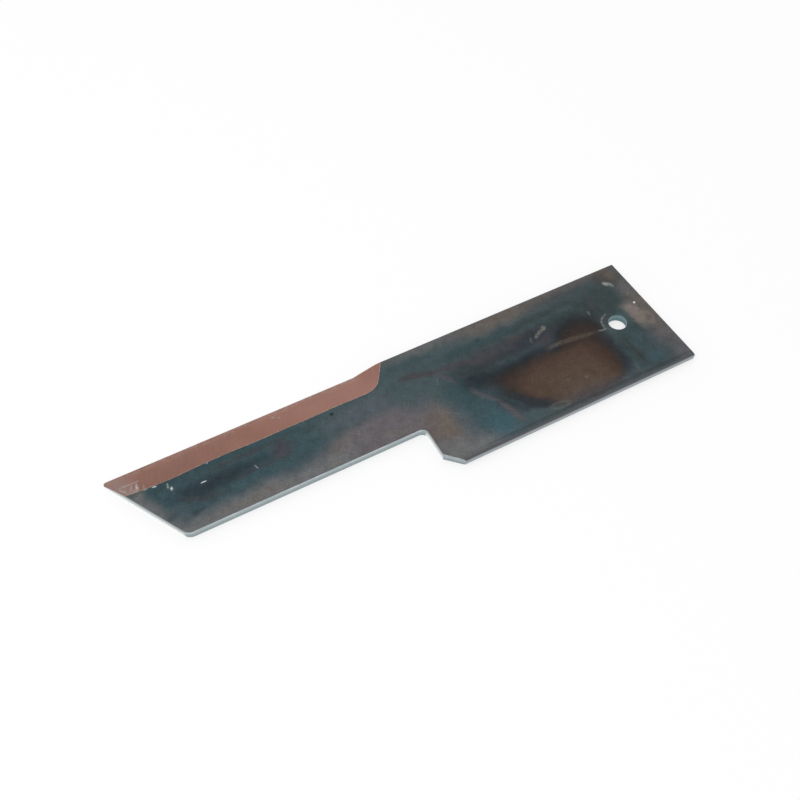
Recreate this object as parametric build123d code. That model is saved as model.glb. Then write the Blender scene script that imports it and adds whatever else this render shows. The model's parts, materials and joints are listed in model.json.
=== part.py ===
from build123d import *
import math
import os

# The knife lies flat: its underside is the plane Z = 0 and the ground bevel is on top.
# The bolt hole's axis is the origin, +X points to the bolted end and +Y to the cutting edge.

# Rolled flat bar that the knife is cut from
bar_width = 60.0
bar_thickness = 3.5
mill_edge_radius = 0.8

# Bolted end, called the tang
hole_diameter = 8.0
hole_to_end = 18.0
tang_length = 117.5
tang_corner_cut = 6.5

# Narrow stretch that stands in the straw, called the blade
blade_width = 39.0
blade_back_length = 100.5
tip_slant = 30.0
notch_corner_radius = 3.0
back_corner_radius = 4.0
nose_radius = 1.5

# Bevel ground on the top of the blade, and its rounded run-out at the tang
bevel_width = 12.5
edge_land = 0.3
runout_angle = 58.0
runout_radius = 9.0

# Rolled-over upper rim of the sheared and punched edges
shear_rim_radius = 0.3

# How far a cutter reaches past the metal that it removes
overcut = 2.0

# Closeness at which an edge counts as lying on a plane or a line
tolerance = 1e-4

# Places that follow from the sizes above
edge_y = bar_width / 2
back_y = edge_y - blade_width
step_x = hole_to_end - tang_length
back_end_x = step_x - blade_back_length
tip_x = back_end_x - blade_width * math.tan(math.radians(tip_slant))
bevel_depth = bar_thickness - edge_land
runout_rise_x = bevel_width / math.tan(math.radians(runout_angle))
runout_tangent = runout_radius * math.tan(math.radians(runout_angle / 2))
runout_x = step_x - runout_rise_x - runout_tangent


def rolled_bar():
    """Flat bar with the rounded edges of the mill, along X."""
    section = RectangleRounded(bar_width, bar_thickness, mill_edge_radius)
    length = hole_to_end - tip_x
    bar = extrude(Plane.YZ * section, length)
    return Pos(tip_x, 0, bar_thickness / 2) * bar


def outline():
    """Plan of the knife: tang, square step, narrow blade and slanted tip."""
    corners = Polyline(
        (hole_to_end, -edge_y),
        (hole_to_end, edge_y),
        (tip_x, edge_y),
        (back_end_x, back_y),
        (step_x, back_y),
        (step_x, -edge_y + tang_corner_cut),
        (step_x + tang_corner_cut, -edge_y),
        close=True,
    )
    plan = make_face(corners)
    plan = round_corner(plan, (tip_x, edge_y), nose_radius)
    plan = round_corner(plan, (back_end_x, back_y), back_corner_radius)
    return round_corner(plan, (step_x, back_y), notch_corner_radius)


def round_corner(plan, corner, radius):
    """Round the one corner of a plan that lies nearest to a point."""
    nearest = plan.vertices().sort_by_distance((corner[0], corner[1], 0))[0]
    return fillet(nearest, radius)


def bevel_cutter():
    """Wedge of metal that grinding takes off along the straight cutting edge."""
    slope = bevel_depth / bevel_width
    section = Polyline(
        (edge_y - bevel_width, bar_thickness),
        (edge_y + overcut, edge_land - overcut * slope),
        (edge_y + overcut, bar_thickness),
        close=True,
    )
    length = runout_x - tip_x + overcut
    wedge = extrude(Plane.YZ * make_face(section), length)
    return Pos(tip_x - overcut, 0, 0) * wedge


def runout_cutter():
    """Slanting cone that ends the bevel.

    Every line of its surface runs from the last point of the full bevel on the
    cutting edge up to the rounded end of the bevel on the top face, so the bevel
    flows into it without a crease.
    """
    slant_x = math.cos(math.radians(runout_angle))
    slant_y = math.sin(math.radians(runout_angle))
    arc_centre = (0, runout_radius - bevel_width)
    arc_end = (runout_tangent * (1 + slant_x), runout_tangent * slant_y - bevel_width)
    heel = (runout_tangent + runout_rise_x, 0)
    reach = (heel[0] + overcut * slant_x, overcut * slant_y)
    arc_middle = (
        runout_radius * math.sin(math.radians(runout_angle / 2)),
        arc_centre[1] - runout_radius * math.cos(math.radians(runout_angle / 2)),
    )
    bend = ThreePointArc((0, -bevel_width), arc_middle, arc_end)
    sides = Polyline(arc_end, heel, reach, (0, reach[1]), (0, -bevel_width))
    mouth = Pos(0, 0, bevel_depth) * make_face(bend + sides)
    cone = loft([mouth, Vertex(0, 0, 0)], ruled=True)
    return Pos(runout_x, edge_y, edge_land) * cone


def bolt_hole():
    """Punched hole for the bolt that holds the tang."""
    return Pos(0, 0, bar_thickness / 2) * Cylinder(hole_diameter / 2, bar_thickness + overcut)


def roll_rims(blank):
    """Round the upper rim wherever the blank was sheared or punched.

    The two long lines where the top face meets the rounded mill edges are no rim.
    """
    mill_line_y = edge_y - mill_edge_radius
    rims = []
    for edge in blank.edges():
        box = edge.bounding_box()
        on_top = box.min.Z > bar_thickness - tolerance
        on_mill_line = box.size.Y < tolerance and abs(abs(box.min.Y) - mill_line_y) < tolerance
        if on_top and not on_mill_line:
            rims.append(edge)
    return fillet(rims, shear_rim_radius)


def knife():
    """Whole knife as one solid: cut from the bar, punched, then ground."""
    blank = rolled_bar() & extrude(outline(), bar_thickness)
    blank = roll_rims(blank - bolt_hole())
    return blank - bevel_cutter() - runout_cutter()


os.makedirs("parts", exist_ok=True)
export_step(knife(), "parts/knife.step")
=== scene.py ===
"""Looks of the static straw chopper knife: heat-tinted flat bar with one ground bevel.

The knife lies on its underside. Its frame is the solid model's: the bolt hole is the
origin, +X points to the bolted end, +Y to the cutting edge and +Z out of the bevelled face.
Sizes are in millimetres until a mesh or a pattern is made.
"""

import json
import logging
import math
from collections.abc import Callable
from dataclasses import dataclass, field
from enum import Enum
from typing import Any

import bmesh
import bpy
import numpy as np
from mathutils import Matrix, Vector, noise
from mathutils.geometry import delaunay_2d_cdt


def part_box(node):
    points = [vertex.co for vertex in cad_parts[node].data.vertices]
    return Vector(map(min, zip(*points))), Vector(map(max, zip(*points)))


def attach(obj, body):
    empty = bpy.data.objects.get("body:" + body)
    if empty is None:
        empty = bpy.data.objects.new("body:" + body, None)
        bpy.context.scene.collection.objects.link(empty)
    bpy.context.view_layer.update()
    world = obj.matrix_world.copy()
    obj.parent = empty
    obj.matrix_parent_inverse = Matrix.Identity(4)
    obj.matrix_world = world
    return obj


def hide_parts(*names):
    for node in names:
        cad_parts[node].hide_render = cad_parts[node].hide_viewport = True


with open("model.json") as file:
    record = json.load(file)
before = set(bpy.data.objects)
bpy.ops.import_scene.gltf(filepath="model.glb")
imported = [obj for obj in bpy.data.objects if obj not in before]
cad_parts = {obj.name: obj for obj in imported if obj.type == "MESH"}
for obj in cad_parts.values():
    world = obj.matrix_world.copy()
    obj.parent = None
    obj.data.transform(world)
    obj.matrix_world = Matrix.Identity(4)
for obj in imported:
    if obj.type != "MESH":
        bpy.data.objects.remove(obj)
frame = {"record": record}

MM = 0.001
SHARP_TURN = 0.4  # Sine of the turn past which a corner stays sharp.
log = logging.getLogger("knife")

Point = tuple[float, float]


def linear(hex_colour: str) -> tuple[float, float, float, float]:
    """Turn an sRGB hex colour into linear RGBA.

    Args:
        hex_colour: Six hex digits, such as "45595d".

    Returns:
        Linear red, green and blue, and an alpha of 1.
    """
    channels = [int(hex_colour[i:i + 2], 16) / 255 for i in (0, 2, 4)]
    straight = [c / 12.92 if c <= 0.04045 else ((c + 0.055) / 1.055) ** 2.4 for c in channels]
    return (*straight, 1.0)


class Edge(Enum):
    """How a stretch of the knife's outline was made."""

    MILL = "rolled at the mill"
    SHEARED = "sheared or punched"
    GROUND = "ground to a cutting edge"


class Skin(Enum):
    """The knife's finishes, in the order of its material slots."""

    TINTED = 0
    BEVEL = 1
    SHEARED = 2
    MILL = 3
    UNDERSIDE = 4


@dataclass(frozen=True)
class Corner:
    """One corner of the outline, and the edge that leaves it."""

    x: float
    y: float
    edge: Edge
    radius: float = 0.0


@dataclass(frozen=True)
class Loop:
    """A closed line of points with the metal on its left."""

    points: np.ndarray
    edges: list[Edge]

    def inset(self, share: float, depths: dict[Edge, float]) -> np.ndarray:
        """Move every point into the metal.

        Args:
            share: Part of the full depth to move, from 0 to 1.
            depths: Full depth for each kind of edge, in millimetres.

        Returns:
            The moved points, one for each point of the loop.
        """
        ahead = np.roll(self.points, -1, axis=0) - self.points
        ahead /= np.linalg.norm(ahead, axis=1)[:, None]
        normals = np.stack([-ahead[:, 1], ahead[:, 0]], axis=1)
        before = np.roll(normals, 1, axis=0)
        turn = before[:, 0] * normals[:, 1] - before[:, 1] * normals[:, 0]
        is_sharp = np.abs(turn) > SHARP_TURN
        depth = np.array([depths[edge] * share for edge in self.edges])
        depth_before = np.roll(depth, 1)
        even = (depth + depth_before) / 2
        for _ in range(3):
            even = np.where(is_sharp, even, (np.roll(even, 1) + even + np.roll(even, -1)) / 3)
        halfway = before + normals
        soft = halfway * (2 * even / (halfway ** 2).sum(axis=1))[:, None]
        turn = np.where(is_sharp, turn, 1.0)
        mitre_x = (depth_before * normals[:, 1] - depth * before[:, 1]) / turn
        mitre_y = (depth * before[:, 0] - depth_before * normals[:, 0]) / turn
        mitre = np.stack([mitre_x, mitre_y], axis=1)
        return self.points + np.where(is_sharp[:, None], mitre, soft)

    def distance(self, places: np.ndarray, kind: Edge | None = None) -> np.ndarray:
        """Measure how far places are from the loop.

        Args:
            places: Points in plan.
            kind: Kind of edge to measure to, or None for any.

        Returns:
            The least distance of each place, in millimetres.
        """
        nearest = np.full(len(places), np.inf)
        for i, edge in enumerate(self.edges):
            if kind is None or edge is kind:
                start = self.points[i]
                along = self.points[(i + 1) % len(self.points)] - start
                share = np.clip((places - start) @ along / (along @ along), 0, 1)
                gap = np.linalg.norm(places - start - share[:, None] * along, axis=1)
                nearest = np.minimum(nearest, gap)
        return nearest


def inside(ring: np.ndarray, places: np.ndarray) -> np.ndarray:
    """Tell which places lie inside a closed ring, by counting crossings.

    Args:
        ring: Points of the ring, in order.
        places: Points to test.

    Returns:
        One truth value for each place.
    """
    within = np.zeros(len(places), bool)
    x, y = places[:, 0], places[:, 1]
    for (x0, y0), (x1, y1) in zip(ring, np.roll(ring, -1, axis=0)):
        if y0 != y1:
            spans = (y0 > y) != (y1 > y)
            within ^= spans & (x < (x1 - x0) * (y - y0) / (y1 - y0) + x0)
    return within


def halve(low: float, high: float, is_before: Callable[[float], bool]) -> float:
    """Close in on the place where a test turns from true to false.

    Args:
        low: A place where the test is true.
        high: A place where it is false.
        is_before: The test.

    Returns:
        The last place found true.
    """
    for _ in range(40):
        middle = (low + high) / 2
        low, high = (middle, high) if is_before(middle) else (low, middle)
    return low


@dataclass(frozen=True)
class Nick:
    """A small dent or gouge in the upper face."""

    x: float
    y: float
    length: float
    width: float
    angle: float
    depth: float = 0.12

    def local(self, places: np.ndarray) -> np.ndarray:
        """Give places in the nick's own frame.

        Args:
            places: Points in plan.

        Returns:
            Their places along and across the nick, whose rim is at 1.
        """
        turn = math.radians(self.angle)
        shift = places - (self.x, self.y)
        along = shift[:, 0] * math.cos(turn) + shift[:, 1] * math.sin(turn)
        across = shift[:, 1] * math.cos(turn) - shift[:, 0] * math.sin(turn)
        return np.stack([along / self.length * 2, across / self.width * 2], axis=1)

    def sink(self, places: np.ndarray) -> np.ndarray:
        """Depth of the dent at each place, in millimetres."""
        return self.depth * np.exp(-2.0 * (self.local(places) ** 2).sum(axis=1))

    def seeds(self) -> np.ndarray:
        """Lay extra mesh points that let the dent keep its form.

        Returns:
            The points in plan.
        """
        turn = math.radians(self.angle)
        axis = np.array([math.cos(turn), math.sin(turn)])
        side = np.array([-axis[1], axis[0]])
        steps = np.linspace(-1.2, 1.2, 7) / 2
        return np.array(
            [(self.x, self.y) + axis * u * self.length + side * v * self.width
             for u in steps for v in steps]
        )


@dataclass(frozen=True)
class KnifeForm:
    """The knife's form in plan and in height."""

    width: float
    thickness: float
    end_x: float
    hole_radius: float
    mill_radius: float = 0.8
    rim_radius: float = 0.3
    burr_radius: float = 0.06
    bare_rim: float = 0.1
    tang_length: float = 117.5
    corner_cut: float = 6.5
    blade_width: float = 39.0
    back_length: float = 100.5
    tip_slant: float = 30.0
    notch_radius: float = 3.0
    back_radius: float = 4.0
    nose_radius: float = 1.5
    bevel_width: float = 12.5
    edge_land: float = 0.3
    runout_angle: float = 58.0
    runout_radius: float = 9.0
    nicks: tuple[Nick, ...] = ()

    # The grinding was guided by hand. Waves are depth, length and start in millimetres
    # and radians; swells are place, reach and growth of the bevel's width.
    waves: tuple[tuple[float, float, float], ...] = ((0.10, 9.0, 0.0), (0.07, 3.7, 1.0))
    swells: tuple[tuple[float, float, float], ...] = ((-196.0, 8.0, 0.6), (-219.0, 6.0, -1.0))
    wave_fade: float = 10.0
    edge_start: float = 2.0

    # How finely curves and edges are sampled.
    step: float = 1.2
    arc_turn: float = 9.0
    hole_points: int = 64
    crease_points: tuple[int, int, int] = (130, 14, 11)

    @property
    def edge_y(self) -> float:
        """Long edge that carries the cutting edge."""
        return self.width / 2

    @property
    def back_y(self) -> float:
        """Back of the narrow blade."""
        return self.edge_y - self.blade_width

    @property
    def step_x(self) -> float:
        """Face of the square step."""
        return self.end_x - self.tang_length

    @property
    def back_end_x(self) -> float:
        """End of the blade's back, where the slanted tip starts."""
        return self.step_x - self.back_length

    @property
    def tip_x(self) -> float:
        """Point of the tip before its nose is rounded."""
        return self.back_end_x - self.blade_width * math.tan(math.radians(self.tip_slant))

    @property
    def runout_tangent(self) -> float:
        """Length of bevel that the run-out's arc takes up on each side of its corner."""
        return self.runout_radius * math.tan(math.radians(self.runout_angle / 2))

    @property
    def runout_x(self) -> float:
        """Place where the full bevel ends and its run-out starts."""
        rise = self.bevel_width / math.tan(math.radians(self.runout_angle))
        return self.step_x - rise - self.runout_tangent

    @property
    def runout_depth(self) -> float:
        """Metal that the bevel takes off at the cutting edge."""
        return self.thickness - self.edge_land

    def ground_width(self, x: np.ndarray) -> np.ndarray:
        """Width of the hand-guided bevel along the blade.

        Args:
            x: Places along the knife.

        Returns:
            The width at each place: nearly even, a little wide behind the tip and
            narrow at its nose, as the grinding left it.
        """
        growth = sum(depth * np.sin(x / length + start) for depth, length, start in self.waves)
        for place, reach, swell in self.swells:
            growth = growth + swell * np.exp(-((x - place) / reach) ** 2)
        fade = np.clip((self.runout_x - x) / self.wave_fade, 0.0, 1.0)
        return self.bevel_width + fade * growth

    def bevel_top(self, x: np.ndarray, y: np.ndarray) -> np.ndarray:
        """Height of the ground surface, which runs above the knife where nothing was ground.

        Args:
            x: Places along the knife.
            y: Places across the knife.

        Returns:
            Heights in millimetres.
        """
        off = self.edge_y - y
        flat = off / self.ground_width(x)
        over = np.maximum(x - self.runout_x, 0.0)
        turn = math.radians(self.runout_angle)
        heel = self.step_x - self.runout_x
        line = (math.sin(turn) * over + math.cos(turn) * off) / (math.sin(turn) * heel)
        centre_y = self.runout_radius - self.bevel_width
        spread = centre_y ** 2 - self.runout_radius ** 2
        lean = -off * centre_y
        root = np.sqrt(np.maximum(lean ** 2 - spread * (over ** 2 + off ** 2), 0.0))
        arc = (lean - root) / spread
        arc_end_x = self.runout_tangent * (1 + math.cos(turn))
        arc_end_y = self.bevel_width - self.runout_tangent * math.sin(turn)
        on_arc = over * arc_end_y < off * arc_end_x
        cone = np.where(on_arc, arc, line)
        share = np.where(x <= self.runout_x, flat, cone)
        return self.edge_land + self.runout_depth * share

    def mill_curve(self, y: np.ndarray) -> np.ndarray:
        """Work out the height lost to the bar's rounded long edges.

        Args:
            y: Places across the knife.

        Returns:
            Depths in millimetres, the same above and below.
        """
        radius = self.mill_radius
        into = np.clip(np.abs(y) - (self.edge_y - radius), 0.0, radius)
        return radius - np.sqrt(radius ** 2 - into ** 2)

    def rim_curve(self, gap: np.ndarray, radius: float) -> np.ndarray:
        """Height lost to a rounded rim at a distance from a sheared edge."""
        into = np.clip(radius - gap, 0.0, radius)
        return radius - np.sqrt(radius ** 2 - into ** 2)

    def top(self, places: np.ndarray, gap: np.ndarray) -> tuple[np.ndarray, np.ndarray]:
        """Find the upper surface.

        Args:
            places: Points in plan.
            gap: Their distance from the nearest sheared edge.

        Returns:
            Their heights, and which finish each has, as the number of its slot.
        """
        x, y = places[:, 0], places[:, 1]
        heights = np.stack([
            np.full(len(places), self.thickness),
            self.bevel_top(x, y),
            self.thickness - self.rim_curve(gap, self.rim_radius),
            self.thickness - self.mill_curve(y),
        ])
        least = heights.min(axis=0)
        is_level = least > self.thickness - 1e-6
        skins = np.full(len(places), Skin.TINTED.value)
        skins = np.where((heights[3] <= least + 1e-9) & ~is_level, Skin.MILL.value, skins)
        skins = np.where(gap < self.bare_rim, Skin.SHEARED.value, skins)
        skins = np.where((heights[1] <= least + 1e-9) & ~is_level, Skin.BEVEL.value, skins)
        return least, skins

    def bottom(self, places: np.ndarray, gap: np.ndarray) -> np.ndarray:
        """Height of the lower surface at places with a given distance from sheared edges."""
        return np.maximum(self.mill_curve(places[:, 1]), self.rim_curve(gap, self.burr_radius))

    def cutting_line(self, x: float) -> float:
        """Find where the bevel meets the bar's rounded lower corner.

        Args:
            x: Place along the knife.

        Returns:
            The cutting edge's place across the knife.
        """
        def is_metal(y: float) -> bool:
            """Tell whether the bevel is still above the lower corner."""
            at = np.array([y])
            return self.bevel_top(np.array([x]), at)[0] > self.mill_curve(at)[0]

        return halve(self.edge_y - self.mill_radius, self.edge_y, is_metal)

    def crease(self) -> np.ndarray:
        """Draw the line where the bevel leaves the upper face.

        Returns:
            Points from the tip's rim round the run-out to the rounded mill edge.
        """
        along, around, up = self.crease_points
        straight = np.linspace(self.crease_start()[0], self.runout_x, along)
        line = np.stack([straight, self.edge_y - self.ground_width(straight)], axis=1)
        sweep = np.linspace(0.0, math.radians(self.runout_angle), around)[1:]
        arc = np.stack([
            self.runout_x + self.runout_radius * np.sin(sweep),
            self.edge_y - self.bevel_width + self.runout_radius * (1 - np.cos(sweep)),
        ], axis=1)
        end = np.array(self.crease_end())
        rest = arc[-1] + np.linspace(0.0, 1.0, up)[1:, None] * (end - arc[-1])
        return np.concatenate([line, arc, rest])

    def crease_start(self) -> Point:
        """Find where the crease meets the inner line of the tip's rim.

        Returns:
            The place in plan.
        """
        slant = math.radians(self.tip_slant)

        def rim_x(y: float) -> float:
            """Place of the rim's inner line along the knife."""
            x = self.back_end_x - (y - self.back_y) * math.tan(slant)
            return x + self.rim_radius / math.cos(slant)

        def is_level(y: float) -> bool:
            """Tell whether the rim is still on the level face."""
            return y < self.edge_y - self.ground_width(np.array([rim_x(y)]))[0]

        y = halve(self.back_y, self.edge_y, is_level)
        return rim_x(y), y

    def crease_end(self) -> Point:
        """Find where the crease meets the inner line of the rounded mill edge."""
        drop = self.mill_radius / math.tan(math.radians(self.runout_angle))
        return self.step_x - drop, self.edge_y - self.mill_radius

    def outline(self) -> Loop:
        """Draw the knife's outline in plan, the metal on its left.

        Returns:
            The outline, with its cutting edge drawn back to where the bevel ends.
        """
        slant = math.radians(self.tip_slant)
        start = self.crease_start()
        on_tip = (start[0] - self.rim_radius * math.cos(slant),
                  start[1] - self.rim_radius * math.sin(slant))
        ground_x = self.runout_x + self.edge_start
        corners = [
            Corner(self.end_x, -self.edge_y, Edge.SHEARED),
            Corner(self.end_x, self.edge_y, Edge.MILL),
            Corner(self.crease_end()[0], self.edge_y, Edge.MILL),
            Corner(ground_x, self.edge_y, Edge.GROUND),
            Corner(self.tip_x, self.edge_y, Edge.SHEARED, self.nose_radius),
            Corner(*on_tip, Edge.SHEARED),
            Corner(self.back_end_x, self.back_y, Edge.SHEARED, self.back_radius),
            Corner(self.step_x, self.back_y, Edge.SHEARED, self.notch_radius),
            Corner(self.step_x, self.corner_cut - self.edge_y, Edge.SHEARED),
            Corner(self.step_x + self.corner_cut, -self.edge_y, Edge.MILL),
        ]
        loop = self.trace(corners)
        points = loop.points.copy()
        for i, (x, y) in enumerate(points):
            if x < ground_x and y > self.edge_y - self.mill_radius:
                points[i, 1] = min(y, self.cutting_line(x))
        return Loop(points, loop.edges)

    def trace(self, corners: list[Corner]) -> Loop:
        """Sample straight edges and rounded corners at an even pitch.

        Args:
            corners: Corners in order, the metal on the left.

        Returns:
            A closed loop that keeps each corner's kind of edge.
        """
        points: list[np.ndarray] = []
        edges: list[Edge] = []
        spots = [np.array([c.x, c.y]) for c in corners]
        joins = [self.round_off(spots[i - 1], spots[i], spots[(i + 1) % len(spots)], c.radius)
                 for i, c in enumerate(corners)]
        for i, corner in enumerate(corners):
            arc = joins[i]
            kind_before = corners[i - 1].edge
            points.extend(arc[:-1])
            edges.extend([corner.edge if corner.radius else kind_before] * (len(arc) - 1))
            start, end = arc[-1], joins[(i + 1) % len(joins)][0]
            count = max(1, round(float(np.linalg.norm(end - start)) / self.step))
            for k in range(count):
                points.append(start + (end - start) * k / count)
                edges.append(corner.edge)
        return Loop(np.array(points), edges)

    def round_off(self, before: np.ndarray, at: np.ndarray, after: np.ndarray,
                  radius: float) -> list[np.ndarray]:
        """Round one corner.

        Args:
            before: Corner before this one.
            at: The corner itself.
            after: Corner after this one.
            radius: Radius of the rounding, or 0 for a sharp corner.

        Returns:
            Points of the arc, or the corner alone.
        """
        if radius == 0:
            return [at]
        back, on = before - at, after - at
        back /= np.linalg.norm(back)
        on /= np.linalg.norm(on)
        half = math.acos(float(back @ on)) / 2
        middle = back + on
        centre = at + middle / np.linalg.norm(middle) * radius / math.sin(half)
        start = at + back * radius / math.tan(half) - centre
        end = at + on * radius / math.tan(half) - centre
        sweep = math.atan2(start[0] * end[1] - start[1] * end[0], float(start @ end))
        count = max(4, round(abs(math.degrees(sweep)) / self.arc_turn))
        arc = []
        for k in range(count + 1):
            turn = sweep * k / count
            spin = np.array([[math.cos(turn), -math.sin(turn)], [math.sin(turn), math.cos(turn)]])
            arc.append(centre + spin @ start)
        return arc

    def hole(self) -> Loop:
        """Draw the bolt hole.

        Returns:
            The hole, clockwise so that the metal is on its left.
        """
        turns = -np.linspace(0.0, 2 * math.pi, self.hole_points, endpoint=False)
        points = self.hole_radius * np.stack([np.cos(turns), np.sin(turns)], axis=1)
        return Loop(points, [Edge.SHEARED] * len(points))


@dataclass
class KnifeMesh:
    """Mesh of the knife: rims in even strips, faces between them in small triangles."""

    form: KnifeForm
    rings: int = 6
    top_pitch: float = 1.1
    bottom_pitch: float = 1.9
    clear_share: float = 0.4
    nick_clear: float = 1.6
    least_area: float = 1e-3
    wall_rows: int = 4
    wave: float = 0.03
    wave_size: Point = (16.0, 11.0)
    wave_fade: float = 3.0
    nick_fade: float = 0.5
    sharp_angle: float = 32.0
    loops: list[Loop] = field(init=False)
    vertices: list[tuple[float, float, float]] = field(default_factory=list)
    faces: list[tuple[int, ...]] = field(default_factory=list)
    skins: list[int] = field(default_factory=list)

    def __post_init__(self) -> None:
        """Draw the outline and the hole."""
        self.loops = [self.form.outline(), self.form.hole()]

    def build(self, name: str) -> bpy.types.Object:
        """Build the whole knife.

        Args:
            name: Name of the new object.

        Returns:
            The object, in metres, with one slot number for each finish.
        """
        mill = self.form.mill_radius
        upper = self.side(True, {
            Edge.MILL: mill, Edge.GROUND: mill, Edge.SHEARED: self.form.rim_radius})
        lower = self.side(False, {
            Edge.MILL: mill, Edge.GROUND: 0.8 * mill, Edge.SHEARED: self.form.burr_radius})
        for loop, above, below in zip(self.loops, upper, lower):
            self.wall(loop, above, below)
        self.paint()
        return self.to_object(name)

    def gap(self, places: np.ndarray, kind: Edge | None = Edge.SHEARED) -> np.ndarray:
        """Measure the way to the nearest edge of a kind, on the outline or the hole."""
        return np.minimum(*(loop.distance(places, kind) for loop in self.loops))

    def side(self, is_top: bool, depths: dict[Edge, float]) -> list[list[int]]:
        """Build one face of the knife with its rounded rims.

        Args:
            is_top: True for the bevelled face.
            depths: How far the rim reaches in from each kind of edge.

        Returns:
            For the outline and the hole, the numbers of their outermost points.
        """
        shares = [1 - math.cos(math.pi / 2 * k / (self.rings - 1)) for k in range(self.rings)]
        rims = [[self.place(loop.inset(share, depths), is_top) for share in shares]
                for loop in self.loops]
        for rings in rims:
            for outer, inner in zip(rings, rings[1:]):
                for i, start in enumerate(outer):
                    j = (i + 1) % len(outer)
                    self.add_face((start, outer[j], inner[j], inner[i]), is_top)
        self.fill([rings[-1] for rings in rims], is_top)
        return [rings[0] for rings in rims]

    def place(self, places: np.ndarray, is_top: bool) -> list[int]:
        """Add points at their heights.

        Args:
            places: Points in plan.
            is_top: True for the bevelled face.

        Returns:
            The new points' numbers.
        """
        gap = self.gap(places)
        if is_top:
            heights = self.form.top(places, gap)[0] - self.unevenness(places)
        else:
            heights = self.form.bottom(places, gap)
        first = len(self.vertices)
        self.vertices.extend((float(x), float(y), float(z)) for (x, y), z in zip(places, heights))
        return list(range(first, len(self.vertices)))

    def unevenness(self, places: np.ndarray) -> np.ndarray:
        """Depth of the rolled face's shallow waves and of its nicks, which fade at the rims.

        Args:
            places: Points in plan.

        Returns:
            How far each point sinks, in millimetres.
        """
        reach = self.gap(places, None)
        fade = np.clip((reach - self.form.mill_radius) / self.wave_fade, 0.0, 1.0)
        long, wide = self.wave_size
        waves = np.array([
            0.5 + 0.5 * noise.noise(Vector((x / long, y / wide, 3.0))) for x, y in places
        ])
        sink = self.wave * waves * fade
        for nick in self.form.nicks:
            sink = sink + nick.sink(places) * np.clip(reach / self.nick_fade, 0.0, 1.0)
        return sink

    def fill(self, inner_rings: list[list[int]], is_top: bool) -> None:
        """Fill the face inside the rims.

        Args:
            inner_rings: Numbers of the points on the rims' inner lines.
            is_top: True for the bevelled face, which has the crease and the nicks.
        """
        known = [number for ring in inner_rings for number in ring]
        lines = []
        start = 0
        for ring in inner_rings:
            lines += [(start + i, start + (i + 1) % len(ring)) for i in range(len(ring))]
            start += len(ring)
        rim = np.array([self.vertices[n][:2] for n in known])
        borders = [rim[:len(inner_rings[0])], rim[len(inner_rings[0]):]]
        pitch = self.top_pitch if is_top else self.bottom_pitch
        clear = self.clear_share * pitch
        seeds = self.lattice(borders, pitch)
        fresh = np.zeros((0, 2))
        if is_top:
            crease = self.form.crease()
            ends = [int(np.argmin(np.linalg.norm(rim - end, axis=1)))
                    for end in (crease[0], crease[-1])]
            fresh = crease[1:-1]
            chain = [ends[0], *range(len(rim), len(rim) + len(fresh)), ends[1]]
            lines += list(zip(chain, chain[1:]))
            for nick in self.form.nicks:
                seeds = seeds[np.abs(nick.local(seeds)).max(axis=1) > self.nick_clear]
            seeds = np.concatenate([seeds, *(nick.seeds() for nick in self.form.nicks)])
            line = np.array([rim[ends[0]], *fresh, rim[ends[1]]])
            path = Loop(line, [Edge.MILL] * (len(line) - 1) + [Edge.GROUND])
            seeds = seeds[path.distance(seeds, Edge.MILL) > clear]
        near = np.minimum(*(Loop(b, [Edge.MILL] * len(b)).distance(seeds) for b in borders))
        fresh = np.concatenate([fresh, seeds[near > clear]])
        numbers = known + self.place(fresh, is_top)
        plan = np.concatenate([rim, fresh])
        spots = [Vector((float(x), float(y))) for x, y in plan]
        result = delaunay_2d_cdt(spots, lines, [], 0, 1e-5)
        if len(result[0]) != len(spots):
            log.warning("the fill added %d points", len(result[0]) - len(spots))
        triangles = np.array([[result[3][v][0] for v in face] for face in result[2]])
        centres = plan[triangles].mean(axis=1)
        one, two = (plan[triangles[:, k]] - plan[triangles[:, 0]] for k in (1, 2))
        areas = np.abs(one[:, 0] * two[:, 1] - one[:, 1] * two[:, 0]) / 2
        wanted = inside(borders[0], centres) & ~inside(borders[1], centres)
        for triangle in triangles[wanted & (areas > self.least_area)]:
            self.add_face(tuple(numbers[v] for v in triangle), is_top)

    @staticmethod
    def lattice(borders: list[np.ndarray], pitch: float) -> np.ndarray:
        """Lay staggered rows of points over the face.

        Args:
            borders: Inner lines of the outline's rim and of the hole's rim.
            pitch: Distance between neighbours.

        Returns:
            The points inside the first line and outside the second.
        """
        low, high = borders[0].min(axis=0), borders[0].max(axis=0)
        rows = np.arange(low[1], high[1], pitch * math.sqrt(3) / 2)
        columns = np.arange(low[0], high[0], pitch)
        points = np.array(
            [(x + (i % 2) * pitch / 2, y) for i, y in enumerate(rows) for x in columns])
        return points[inside(borders[0], points) & ~inside(borders[1], points)]

    def add_face(self, corners: tuple[int, ...], is_top: bool) -> None:
        """Add one face of the top or the bottom, turned outwards.

        Args:
            corners: Numbers of its points, counter-clockwise from above.
            is_top: True for the bevelled face.
        """
        self.faces.append(corners if is_top else corners[::-1])
        self.skins.append(Skin.TINTED.value if is_top else Skin.UNDERSIDE.value)

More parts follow.
